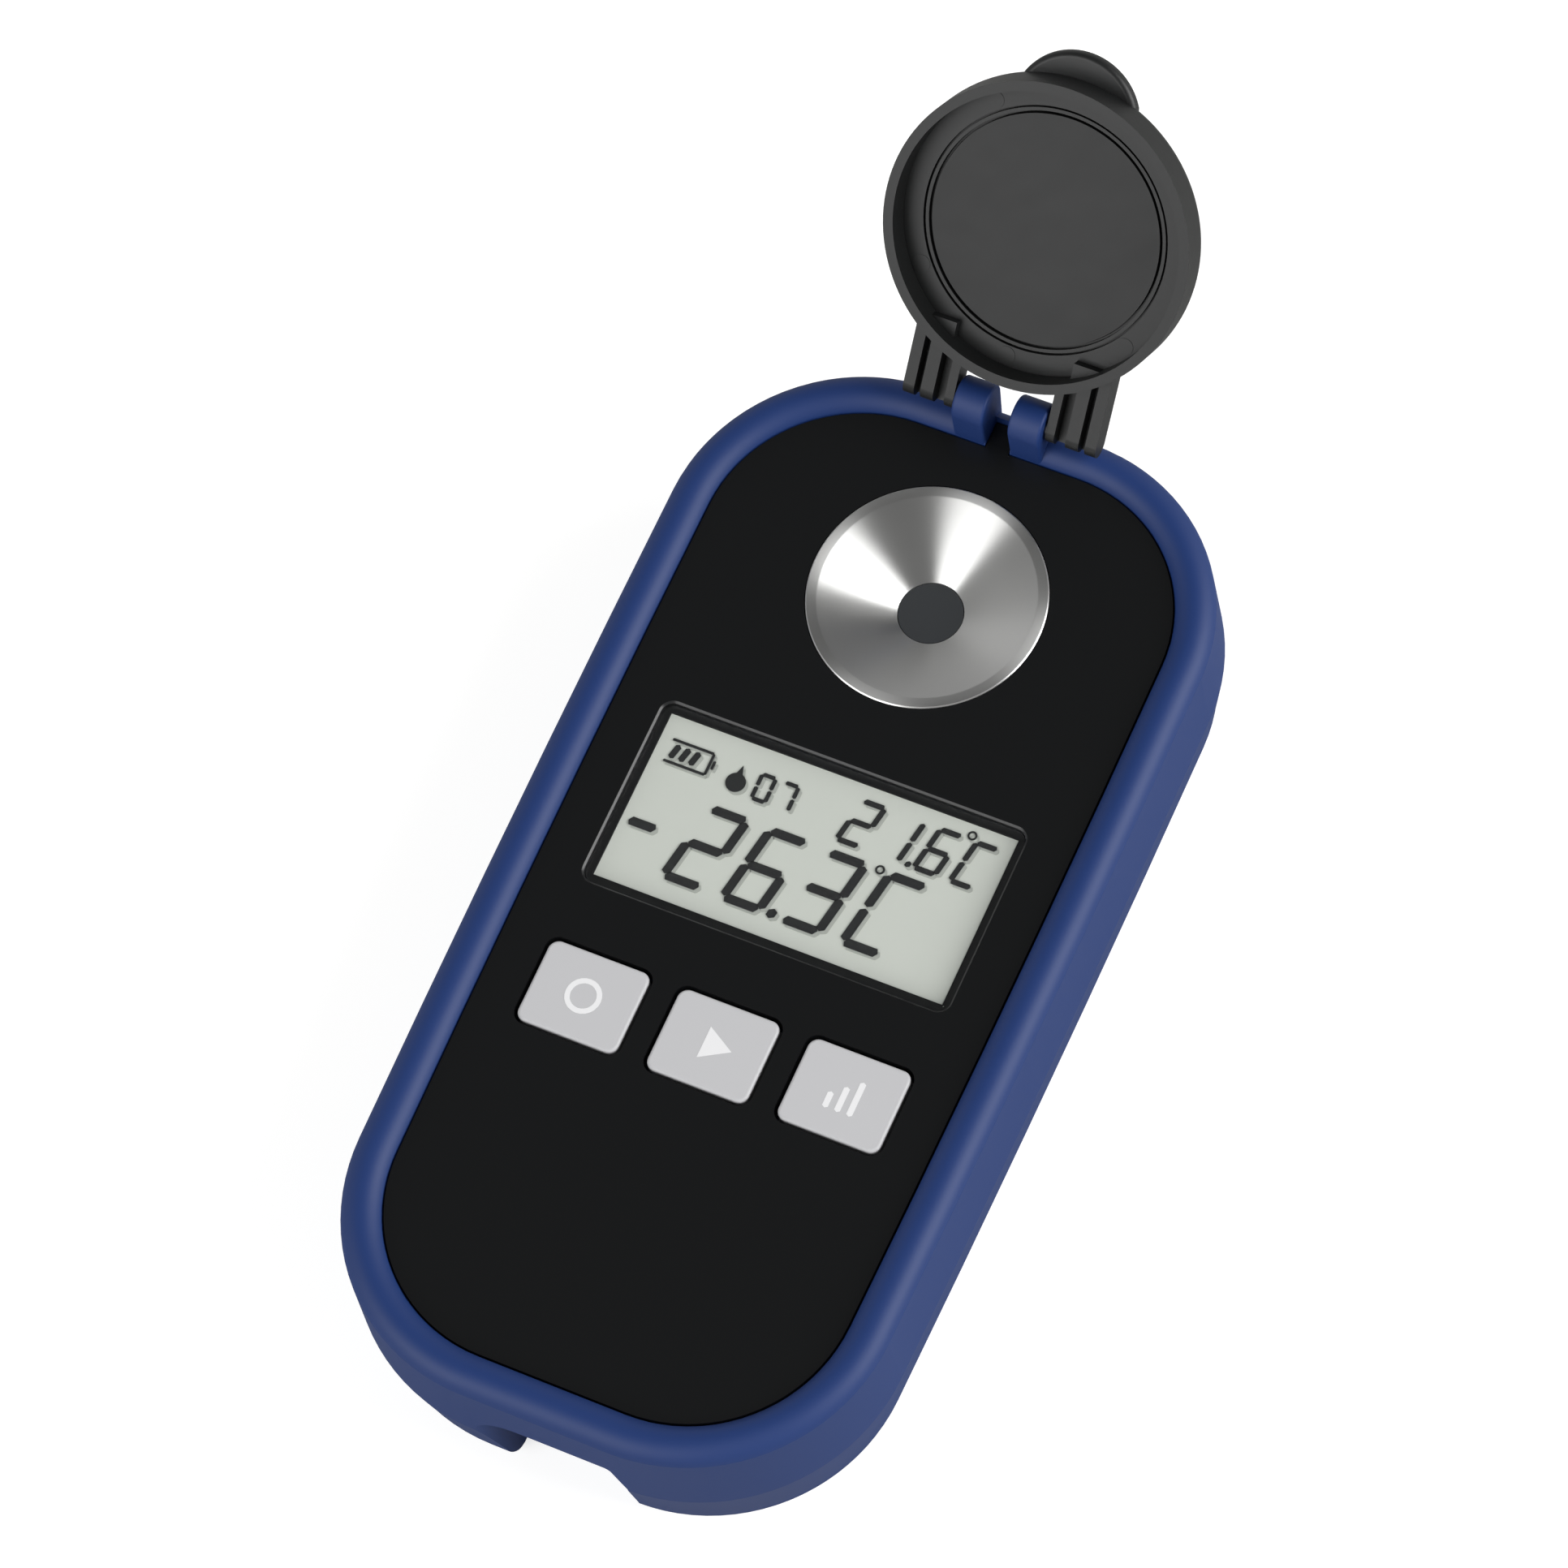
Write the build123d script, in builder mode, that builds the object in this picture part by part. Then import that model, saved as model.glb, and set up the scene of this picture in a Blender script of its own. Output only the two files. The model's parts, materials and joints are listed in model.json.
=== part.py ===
"""Hand-held digital refractometer with a hinged lid over its sample well.

Millimetres. The instrument lies on its flat back at Z = 0, the face looks up +Z,
+Y runs from the buttons to the hinge, and the middle of the body is X = 0, Y = 0.
The lid is drawn as it stands in the photo, open by lid_open degrees.
"""
import os
from math import cos, radians, sin

from build123d import *

os.makedirs("parts", exist_ok=True)

# Outline of the face panel
panel_top_y = 53.8
panel_bottom_y = -53.6
half_width_bottom = 23.95
half_width_mid = 24.97
half_width_top = 24.75
widest_y = 20.0
corner_top = 16.0
corner_bottom = 16.5

# How far a cut runs past the face that it opens, and two pieces that are joined run into each other
past = 1.0
overlap = 0.2
thin_overlap = 0.01

# Levels of the body, counted from the back
face_z = 20.0
panel_thickness = 2.0
deck_thickness = 1.6
split_z = 10.0
panel_z = face_z - panel_thickness
deck_z = panel_z - deck_thickness

# Rim bead and side wall, widths counted outwards from the panel edge
bead_width = 4.22
bead_rise = 1.3
bead_foot_drop = 0.5
crease_drop = 0.35
wall_out = 4.5
wall_in = 2.0
wall_overlap = 0.4
panel_gap = 0.1
panel_edge = 0.2

# Lower case
taper_z = 3.0
taper_in = 1.1
back_round_in = 1.8
back_round_z = 1.05
back_edge_in = 3.3
floor_thickness = 2.4
floor_overlap = 1.0
floor_ramp = 2.0

# Seal between the cases
seal_out = 3.6
seal_in = 2.8
seal_height = 0.8
seal_end_gap = 1.2

# Notch in the bottom end
notch_left = -5.5
notch_right = 8.8
notch_slant = 1.9
notch_top_z = 14.4
notch_depth = 4.8
notch_depth_y = panel_bottom_y - wall_out + notch_depth
notch_roll = 2.5
notch_r_left = 5.5
notch_r_right = 0.8
notch_shoulder_z = 10.3
notch_shoulder_in = 1.5
notch_wall = 1.5

# Display
window_x = 39.8
window_bottom_y = -4.4
window_top_y = 16.4
window_corner = 1.3
window_thickness = 0.8
window_drop = 0.3
segment_gap = 0.15
lcd_x = 38.0
lcd_bottom_y = -3.29
lcd_top_y = 15.51
lcd_bottom_z = 16.9
holder_floor = 1.0
strip_end = 2.0
strip_y = 1.6
strip_in = 0.6
fit_gap = 0.1
ledge_gap = 0.05

# Buttons
button_x = 11.0
button_y = 9.16
button_corner = 1.1
button_centre_y = -15.84
button_pitch = 14.15
button_gap = 0.35
button_round = 0.35
flange_margin = 0.9
flange_thickness = 1.0
flange_gap = 0.3

# Sample well
well_from_top = 17.54
well_y = panel_top_y - well_from_top
well_r = 12.31
well_rise = 0.1
well_rim = 1.1
prism_hole_r = 3.41
prism_hole_z = 16.1
well_body_r = 10.6
well_bottom_z = 13.5
well_bevel = 0.12
well_seal_in = 10.9
well_seal_out = 11.9
well_seal_height = 0.5
prism_gap = 0.08
prism_drop = 0.05

# Prism and the block that holds it under the well
prism_shoulder_z = 13.2
prism_base_z = 8.4
prism_half_x = 4.2
prism_half_top = 5.4
prism_half_base = 3.0
prism_seal_out = 4.1
block_plate_z = 11.9
block_plate_r = 12.0
block_half_x = 6.5
block_half_y = 12.5
block_bottom_z = 2.8
light_angle = 32.0
light_in = 1.0
light_bore_r = 1.8
light_r = 1.5
light_length = 3.4
light_far = 11.2
lens_far = 6.6
lens_r = 1.75
lens_thickness = 0.9
lens_round = 0.4
light_round = 1.2
sensor_x = 3.2
sensor_z = 7.6
sensor_thickness = 1.2
sensor_low_z = 3.6
sensor_board_x = 12.0
sensor_board_z = 8.0
sensor_board_thickness = 1.0
fixing_x = 8.6
fixing_y = 3.8
fixing_r = 0.8
fixing_head_r = 1.6
fixing_head = 1.1
fixing_top_z = 16.6
probe_r = 1.1
probe_bottom_z = 10.8

# Circuit board and what it carries
board_top_z = 13.4
board_thickness = 1.0
board_x = 42.0
board_corner = 2.0
board_low_in = 13.6
board_bottom_y = panel_bottom_y + board_low_in
board_from_well = 14.26
board_top_y = well_y - board_from_well
board_bottom_z = board_top_z - board_thickness
post_r = 2.2
post_bore = 0.9
post_cap = 1.0
board_screw_r = 1.8
board_screw_head = 0.7
board_screw_top_z = 16.4
switch_size = 6.0
switch_height = 1.2
switch_corner = 0.4
plunger_r = 1.5
plunger_height = 0.4
post_x = 18.6
post_low_in = 4.0
post_high_in = 2.6
post_ends = (board_bottom_y + post_low_in, board_top_y - post_high_in)
post_places = [(x, y) for y in post_ends for x in (-post_x, post_x)]

# Case screws
boss_r = 3.0
post_foot_r = 3.8
slot_width = 0.6
slot_length = 3.0
slot_depth = 0.8
boss_bore = 1.1
head_r = 2.4
head_z = 0.6
head_top_z = 2.6
screw_tip_z = 14.2
boss_low_x = 17.0
boss_high_x = 19.3
boss_low_in = 8.6
boss_high_in = 9.8
boss_ends = ((boss_low_x, panel_bottom_y + boss_low_in), (boss_high_x, panel_top_y - boss_high_in))
boss_places = [(side * x, y) for x, y in boss_ends for side in (-1, 1)]

# Battery bay, one AAA cell along Y
cell_r = 5.2
cell_z = 6.9
cell_length = 43.3
cell_nub_r = 1.9
cell_nub = 1.2
cell_round = 0.5
bay_x = 0.7
bay_half = 5.4
bay_wall = 1.2
bay_bottom_y = notch_depth_y + notch_wall
spring_room = 3.1
contact_thickness = 0.4
bay_length = cell_length + cell_nub + 2 * contact_thickness + spring_room
bay_top_y = bay_bottom_y + bay_length
contact_size = 8.6
spring_wire = 0.3
spring_r = 3.4
spring_pitch = 1.05
spring_narrowing = 20.0

# Battery cover, slides out through the notch
cover_half = 5.4
cover_tongue = 0.55
cover_gap = 0.2
cover_low = 0.1
tongue_low = 0.95
tongue_high = 1.45
groove_low = 0.8
groove_high = 1.6
cover_overlap = 0.8
cover_back = 0.4
cover_top_y = bay_top_y + cover_overlap
cover_bottom_y = notch_depth_y + cover_back
grip_count = 4
grip_pitch = 1.5
grip_width = 7.0
grip_depth = 0.35

# Hinge
hinge_past_panel = 2.62
hinge_y = panel_top_y + hinge_past_panel
hinge_z = 23.78
knuckle_r = 2.4
knuckle_in = 1.35
knuckle_out = 4.85
knuckle_round = 0.3
knuckle_front_in = 2.52
knuckle_back_out = 1.68
knuckle_front_y = hinge_y - knuckle_front_in
knuckle_back_y = hinge_y + knuckle_back_out
knuckle_base_z = 17.5
tongue_length = 2.9
tongue_y = panel_top_y + tongue_length
tongue_gap = 0.1
tongue_floor_z = 18.2
pin_r = 0.8
pin_bore = 0.85
pin_from = 1.9
pin_to = 5.85
bore_to = 5.9

# Lid, levels given as they are with the lid closed
lid_open = 133.36
lid_r = 16.16
mouth_r = 15.11
mouth_z = 20.33
ceiling_z = 23.25
straight_z = 23.74
lid_top_z = 25.5
groove_r = 12.95
groove_z = 23.95
ridge_out = 12.72
ridge_in = 12.38
ridge_z = 23.32
disc_r = 12.07
disc_z = 23.4
disc_top_z = 24.3
disc_gap = 0.12
tab_half = 6.05
tab_tip_r = 18.8
tab_low_z = 23.8
tab_high_z = 25.35
tab_round = 0.6
tab_root_in = 1.5
block_x = 6.4
block_y = 12.0
block_height = 1.1
block_size = 4.0
block_overlap = 0.3

# Lid arms
arm_in = 5.1
arm_out = 10.6
arm_ribs = [(5.1, 6.05), (7.3, 8.7), (9.4, 10.6)]
arm_r = 1.35
arm_plate = 0.85
arm_reach = 9.6
arm_nose_angle = 35.0


def face_sketch(grow, z):
    """Panel outline grown outwards by `grow`, at height z."""
    with BuildSketch(Plane.XY.offset(z)) as outline:
        with BuildLine():
            low_right = (half_width_bottom, panel_bottom_y)
            low_left = (-half_width_bottom, panel_bottom_y)
            top_right = (half_width_top, panel_top_y)
            top_left = (-half_width_top, panel_top_y)
            Line(low_left, low_right)
            ThreePointArc(low_right, (half_width_mid, widest_y), top_right)
            Line(top_right, top_left)
            ThreePointArc(top_left, (-half_width_mid, widest_y), low_left)
        make_face()
        lower = outline.vertices().filter_by(lambda v: v.Y < 0)
        fillet(lower, corner_bottom)
        upper = outline.vertices().filter_by(lambda v: v.Y > panel_top_y - thin_overlap)
        fillet(upper, corner_top)
        if grow:
            offset(amount=grow, kind=Kind.ARC)
    return outline.sketch


def slab(x0, x1, y0, y1, z0, z1, mode=Mode.ADD):
    """Box between two corners, added to or cut from the part being built."""
    with Locations(((x0 + x1) / 2, (y0 + y1) / 2, (z0 + z1) / 2)):
        Box(x1 - x0, y1 - y0, z1 - z0, mode=mode)


def drum(x, y, z0, z1, r, mode=Mode.ADD):
    """Upright cylinder from z0 to z1."""
    with Locations((x, y, (z0 + z1) / 2)):
        Cylinder(r, z1 - z0, mode=mode)


def rounded(x, y, width, height, corner, z0, z1, mode=Mode.ADD):
    """Upright plate with rounded corners from z0 to z1."""
    with BuildSketch(Plane.XY.offset(z0)) as plate:
        with Locations((x, y)):
            RectangleRounded(width, height, corner)
    extrude(plate.sketch, amount=z1 - z0, mode=mode)


nodes = []


def save(part, name, color):
    """Label one node and write its file."""
    part.label = name
    part.color = Color(*color)
    export_step(part, f"parts/{name}.step")
    nodes.append(name)


path_wire = face_sketch(0, 0).face().outer_wire()
path_start = path_wire @ 0
path_along = path_wire % 0
path_out = path_along.cross(Vector(0, 0, 1))
section = Plane(origin=path_start, x_dir=path_out, z_dir=path_along * -1)
if section.y_dir.Z < 0:
    section = Plane(origin=path_start, x_dir=path_out, z_dir=path_along)

# Seal between the cases, half in the wall of each, open at the notch
with BuildPart() as case_seal:
    with BuildSketch(Plane.XY.offset(split_z - seal_height / 2)):
        add(face_sketch(seal_out, split_z - seal_height / 2))
        add(face_sketch(seal_in, split_z - seal_height / 2), mode=Mode.SUBTRACT)
    extrude(amount=seal_height)
    slab(notch_left - notch_roll - seal_end_gap, notch_right + seal_end_gap, panel_bottom_y - wall_out,
         panel_bottom_y, 0, face_z, Mode.SUBTRACT)
save(case_seal.part, "case_seal", (0.08, 0.08, 0.08))

# Gasket under the flange of the sample well
with BuildPart() as well_seal:
    with BuildSketch(Plane.XY.offset(panel_z - well_seal_height)):
        with Locations((0, well_y)):
            Circle(well_seal_out)
            Circle(well_seal_in, mode=Mode.SUBTRACT)
    extrude(amount=well_seal_height)
save(well_seal.part, "well_seal", (0.08, 0.08, 0.08))

# Hinge knuckles, one each side of the middle slot, part of the upper case
with BuildPart() as knuckles:
    for side in (-1, 1):
        with BuildSketch(Plane.YZ.offset(side * knuckle_in)):
            with BuildLine():
                Line((knuckle_back_y, knuckle_base_z), (knuckle_front_y, knuckle_base_z))
                Line((knuckle_front_y, knuckle_base_z), (hinge_y - knuckle_r, hinge_z))
                ThreePointArc((hinge_y - knuckle_r, hinge_z), (hinge_y, hinge_z + knuckle_r),
                              (hinge_y + knuckle_r, hinge_z))
                Line((hinge_y + knuckle_r, hinge_z), (knuckle_back_y, knuckle_base_z))
            make_face()
        extrude(amount=side * (knuckle_out - knuckle_in))
    round_edges = knuckles.edges().filter_by(lambda e: e.center().Z > knuckle_base_z + 1
                                             and abs(e.tangent_at(0.5).X) < 0.5)
    fillet(round_edges, knuckle_round)

# Space of the notch: a rolled lip on its left, a slanted wall on its right
outer_y = panel_bottom_y - wall_out
roll_x = notch_left - notch_roll
roll_y = outer_y + notch_roll
notch_far = 3.0
slant_per_mm = notch_slant / (notch_depth_y - outer_y)
with BuildPart() as notch_space:
    with BuildSketch(Plane.XY.offset(-past)):
        with BuildLine():
            lip_start = (roll_x, outer_y)
            lip_end = (notch_left, roll_y)
            lip_middle = (roll_x + notch_roll * cos(radians(45)), roll_y - notch_roll * sin(radians(45)))
            ThreePointArc(lip_start, lip_middle, lip_end)
            Polyline(lip_end, (notch_left, notch_depth_y), (notch_right - notch_slant, notch_depth_y),
                     (notch_right + notch_far * slant_per_mm, outer_y - notch_far),
                     (roll_x, outer_y - notch_far), lip_start)
        make_face()
    extrude(amount=notch_top_z + past)
    with BuildSketch(Plane.XZ.offset(-notch_depth_y)) as notch_face:
        with BuildLine():
            Polyline((roll_x, -past), (notch_right, -past), (notch_right, notch_shoulder_z),
                     (notch_right - notch_shoulder_in, notch_top_z), (roll_x, notch_top_z), (roll_x, -past))
        make_face()
        fillet(notch_face.vertices().sort_by(Axis.Y)[-2:].sort_by(Axis.X)[0], notch_r_left)
        shoulder_low = notch_shoulder_z - thin_overlap
        right_side = notch_face.vertices().filter_by(lambda v: v.X > 0 and v.Y > shoulder_low)
        fillet(right_side.sort_by(Axis.X)[-2:], notch_r_right)
    extrude(amount=notch_depth + 2 * notch_far, mode=Mode.INTERSECT)

# Upper case
with BuildPart() as top_case:
    with BuildSketch(section):
        with BuildLine():
            start = (0, face_z - bead_foot_drop)
            crown = (bead_width / 2, face_z + bead_rise)
            end = (bead_width, face_z - crease_drop)
            ThreePointArc(start, crown, end)
            Polyline(end, (wall_out, split_z),
                     (wall_in, split_z), (wall_in, deck_z - wall_overlap), (0, deck_z - wall_overlap), start)
        make_face()
    sweep(path=path_wire)
    add(face_sketch(overlap, deck_z))
    extrude(amount=deck_thickness)
    slab(-knuckle_in, knuckle_in, panel_top_y - fit_gap, tongue_y + tongue_gap, tongue_floor_z,
         hinge_z, Mode.SUBTRACT)
    add(knuckles.part)
    for side in (-1, 1):
        with BuildSketch(Plane.YZ.offset(side * pin_from)):
            with Locations((hinge_y, hinge_z)):
                Circle(pin_r)
        extrude(amount=side * (knuckle_out - pin_from), mode=Mode.SUBTRACT)
    for x, y in boss_places:
        drum(x, y, split_z, panel_z, boss_r)
        drum(x, y, split_z, screw_tip_z, boss_bore, Mode.SUBTRACT)
    for x, y in post_places:
        drum(x, y, board_top_z, panel_z, post_r)
        drum(x, y, board_top_z, panel_z - post_cap, post_bore, Mode.SUBTRACT)
    drum(0, well_y, deck_z, panel_z, well_body_r + fit_gap, Mode.SUBTRACT)
    lcd_mid = (lcd_bottom_y + lcd_top_y) / 2
    lcd_y = lcd_top_y - lcd_bottom_y
    slab(-lcd_x / 2 - ledge_gap, lcd_x / 2 + ledge_gap, lcd_bottom_y - ledge_gap,
         lcd_top_y + ledge_gap, deck_z, panel_z, Mode.SUBTRACT)
    for step in (-1, 0, 1):
        rounded(step * button_pitch, button_centre_y, button_x + 2 * button_gap,
                button_y + 2 * button_gap, button_corner + button_gap, deck_z, panel_z, Mode.SUBTRACT)
    add(case_seal.part, mode=Mode.SUBTRACT)
    add(well_seal.part, mode=Mode.SUBTRACT)
    slab(roll_x - notch_wall, notch_right + notch_wall, panel_bottom_y - wall_in - fit_gap,
         bay_bottom_y, split_z, deck_z)
    add(notch_space.part, mode=Mode.SUBTRACT)
save(top_case.part, "top_case", (0.13, 0.22, 0.40))

# Lower case
with BuildPart() as back_shell:
    with BuildSketch(section):
        with BuildLine():
            low = (wall_out - taper_in, taper_z)
            edge = (wall_out - back_edge_in, 0)
            Line((wall_out, split_z), low)
            ThreePointArc(low, (wall_out - back_round_in, back_round_z), edge)
            Polyline(edge, (edge[0] - floor_overlap, 0), (edge[0] - floor_overlap, floor_thickness),
                     (0, floor_thickness), (wall_in, floor_thickness + floor_ramp),
                     (wall_in, split_z), (wall_out, split_z))
        make_face()
    sweep(path=path_wire)
    add(face_sketch(edge[0] - floor_overlap / 2, 0))
    extrude(amount=floor_thickness)
    add(case_seal.part, mode=Mode.SUBTRACT)
    slab(roll_x - notch_wall, notch_right + notch_wall, panel_bottom_y - past, bay_bottom_y, 0, split_z)
    slab(roll_x - notch_wall, notch_right + notch_wall, panel_bottom_y - wall_in - fit_gap,
         bay_bottom_y, floor_thickness, split_z)
    for side in (-1, 1):
        wall_x = bay_x + side * (bay_half + bay_wall / 2)
        slab(wall_x - bay_wall / 2, wall_x + bay_wall / 2, bay_bottom_y, bay_top_y, 0, split_z)
    bay_outer = bay_half + bay_wall
    slab(bay_x - bay_outer, bay_x + bay_outer, bay_top_y, bay_top_y + bay_wall, 0, split_z)
    for x, y in boss_places:
        drum(x, y, 0, split_z, post_foot_r)
        drum(x, y, 0, split_z, boss_bore + fit_gap, Mode.SUBTRACT)
        drum(x, y, 0, head_top_z, head_r + flange_gap, Mode.SUBTRACT)
    add(notch_space.part, mode=Mode.SUBTRACT)
    slab(bay_x - cover_half - cover_gap, bay_x + cover_half + cover_gap, notch_depth_y - past,
         cover_top_y + cover_gap, -past, groove_low + thin_overlap, Mode.SUBTRACT)
    groove_half = cover_half + cover_tongue + cover_gap
    slab(bay_x - groove_half, bay_x + groove_half, notch_depth_y - past, cover_top_y + cover_gap,
         groove_low, groove_high, Mode.SUBTRACT)
    slab(bay_x - bay_half, bay_x + bay_half, bay_bottom_y, bay_top_y, -past, split_z + past, Mode.SUBTRACT)
save(back_shell.part, "back_shell", (0.13, 0.22, 0.40))

# Face panel with its openings
with BuildPart() as front_panel:
    add(face_sketch(-panel_gap, panel_z))
    extrude(amount=panel_thickness)
    window_mid = (window_bottom_y + window_top_y) / 2
    window_y = window_top_y - window_bottom_y
    rounded(0, window_mid, window_x, window_y, window_corner, panel_z, face_z, Mode.SUBTRACT)
    for step in (-1, 0, 1):
        rounded(step * button_pitch, button_centre_y, button_x + 2 * button_gap,
                button_y + 2 * button_gap, button_corner + button_gap, panel_z, face_z, Mode.SUBTRACT)
    drum(0, well_y, panel_z, face_z, well_r + fit_gap, Mode.SUBTRACT)
    slab(-knuckle_in + tongue_gap, knuckle_in - tongue_gap, panel_top_y - 1, tongue_y,
         tongue_floor_z + tongue_gap, face_z)
    top_edges = front_panel.edges().group_by(Axis.Z)[-1]
    window_edges = top_edges.filter_by(lambda e: abs(e.center().Y - window_mid) < window_y / 2 + past
                                       and abs(e.center().X) < window_x / 2 + past)
    chamfer(window_edges, panel_edge)
save(front_panel.part, "front_panel", (0.09, 0.09, 0.10))

# Display: pane, border, crystal cell, holder, contact strips
pane_top_z = face_z - window_drop
pane_z = pane_top_z - window_thickness
with BuildPart() as display_window:
    rounded(0, window_mid, window_x - 2 * fit_gap, window_y - 2 * fit_gap, window_corner - fit_gap,
            pane_z, pane_top_z)
save(display_window.part, "display_window", (0.8, 0.85, 0.85))

with BuildPart() as display_border:
    rounded(0, window_mid, window_x - 2 * fit_gap, window_y - 2 * fit_gap, window_corner - fit_gap,
            panel_z, pane_z)
    slab(-lcd_x / 2 - ledge_gap, lcd_x / 2 + ledge_gap, lcd_bottom_y - ledge_gap,
         lcd_top_y + ledge_gap, panel_z, pane_z, Mode.SUBTRACT)
save(display_border.part, "display_border", (0.05, 0.05, 0.05))

with BuildPart() as lcd_module:
    slab(-lcd_x / 2, lcd_x / 2, lcd_bottom_y, lcd_top_y, lcd_bottom_z, pane_z - segment_gap)
save(lcd_module.part, "lcd_module", (0.80, 0.82, 0.78))

strip_x = lcd_x - 2 * strip_end
with BuildPart() as zebra_strips:
    for y in (lcd_bottom_y + strip_in + strip_y / 2, lcd_top_y - strip_in - strip_y / 2):
        slab(-strip_x / 2, strip_x / 2, y - strip_y / 2, y + strip_y / 2, board_top_z, lcd_bottom_z)
save(zebra_strips.part, "zebra_strips", (0.30, 0.30, 0.32))

with BuildPart() as lcd_holder:
    slab(-lcd_x / 2, lcd_x / 2, lcd_bottom_y, lcd_top_y, board_top_z, lcd_bottom_z)
    add(zebra_strips.part, mode=Mode.SUBTRACT)
    well_low = lcd_bottom_y + 2 * strip_in + strip_y
    well_high = lcd_top_y - 2 * strip_in - strip_y
    slab(-strip_x / 2, strip_x / 2, well_low, well_high, board_top_z, lcd_bottom_z - holder_floor,
         Mode.SUBTRACT)
save(lcd_holder.part, "lcd_holder", (0.85, 0.85, 0.85))

# Push buttons, one body each
for name, step in (("button_left", -1), ("button_middle", 0), ("button_right", 1)):
    with BuildPart() as button:
        x = step * button_pitch
        rounded(x, button_centre_y, button_x, button_y, button_corner, deck_z, face_z)
        fillet(button.edges().group_by(Axis.Z)[-1], button_round)
        rounded(x, button_centre_y, button_x + 2 * flange_margin, button_y + 2 * flange_margin,
                button_corner + flange_margin, deck_z - flange_thickness, deck_z)
    save(button.part, name, (0.76, 0.76, 0.77))

# Circuit board and its screws, switches and chips
with BuildPart() as circuit_board:
    rounded(0, (board_bottom_y + board_top_y) / 2, board_x, board_top_y - board_bottom_y, board_corner,
            board_bottom_z, board_top_z)
    with Locations(*[(x, y, board_top_z) for x, y in post_places]):
        Hole(post_bore + fit_gap)
save(circuit_board.part, "circuit_board", (0.05, 0.30, 0.16))

with BuildPart() as board_screws:
    for x, y in post_places:
        drum(x, y, board_bottom_z - board_screw_head, board_bottom_z, board_screw_r)
        drum(x, y, board_bottom_z, board_screw_top_z, post_bore)
save(board_screws.part, "board_screws", (0.75, 0.75, 0.77))

with BuildPart() as tact_switches:
    for step in (-1, 0, 1):
        x = step * button_pitch
        top_z = board_top_z + switch_height
        rounded(x, button_centre_y, switch_size, switch_size, switch_corner, board_top_z, top_z)
        drum(x, button_centre_y, top_z, top_z + plunger_height, plunger_r)
save(tact_switches.part, "tact_switches", (0.2, 0.2, 0.2))

chips = [(-8.0, 9.0, 9.0, 9.0, 1.2), (5.0, 8.5, 6.0, 5.0, 1.0), (13.0, 9.5, 4.0, 5.0, 1.4),
         (-15.0, 12.0, 3.0, 2.0, 0.8), (8.0, 13.5, 3.2, 1.6, 0.8), (0.5, 14.0, 2.0, 1.2, 0.6)]
with BuildPart() as board_chips:
    for x, from_edge, width, depth, height in chips:
        y = board_bottom_y + from_edge
        slab(x - width / 2, x + width / 2, y - depth / 2, y + depth / 2, board_top_z, board_top_z + height)
save(board_chips.part, "board_chips", (0.07, 0.07, 0.07))

# Sample well, turned from one bar
cone_r = well_r - well_rim
flange_z = face_z + well_rise
with BuildPart() as sample_well:
    with BuildSketch(Plane.XZ.offset(-well_y)):
        with BuildLine():
            Polyline((prism_hole_r, well_bottom_z), (prism_hole_r, prism_hole_z), (cone_r, flange_z),
                     (well_r - well_bevel, flange_z), (well_r, flange_z - well_bevel), (well_r, panel_z),
                     (well_body_r, panel_z), (well_body_r, well_bottom_z), (prism_hole_r, well_bottom_z))
        make_face()
    revolve(axis=Axis((0, well_y, 0), (0, 0, 1)))
    for side_x in (-1, 1):
        for side_y in (-1, 1):
            drum(side_x * fixing_x, well_y + side_y * fixing_y, well_bottom_z, fixing_top_z, fixing_r,
                 Mode.SUBTRACT)
save(sample_well.part, "sample_well", (0.72, 0.72, 0.72))

# Prism, its top a round boss that closes the bottom of the well
boss_top_z = prism_hole_z - prism_drop
with BuildPart() as prism:
    with BuildSketch(Plane.YZ.offset(-prism_half_x)):
        with BuildLine():
            Polyline((well_y - prism_half_base, prism_base_z), (well_y + prism_half_base, prism_base_z),
                     (well_y + prism_half_top, prism_shoulder_z), (well_y - prism_half_top, prism_shoulder_z),
                     (well_y - prism_half_base, prism_base_z))
        make_face()
    extrude(amount=2 * prism_half_x)
    drum(0, well_y, prism_shoulder_z, boss_top_z, prism_hole_r - prism_gap)
save(prism.part, "prism", (0.25, 0.26, 0.27))

with BuildPart() as prism_seal:
    with BuildSketch(Plane.XY.offset(prism_shoulder_z)):
        with Locations((0, well_y)):
            Circle(prism_seal_out)
            Circle(prism_hole_r, mode=Mode.SUBTRACT)
    extrude(amount=well_bottom_z - prism_shoulder_z)
save(prism_seal.part, "prism_seal", (0.08, 0.08, 0.08))

# Lamp and lens on one slanted axis that meets the middle of the prism face
light_aim = Vector(0, well_y - prism_half_top + light_in, (prism_base_z + prism_shoulder_z) / 2)
light_back = Vector(0, -cos(radians(light_angle)), -sin(radians(light_angle)))
lamp_plane = Plane(origin=light_aim + light_back * light_far, x_dir=(1, 0, 0), z_dir=light_back * -1)
lens_plane = Plane(origin=light_aim + light_back * lens_far, x_dir=(1, 0, 0), z_dir=light_back * -1)

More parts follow.
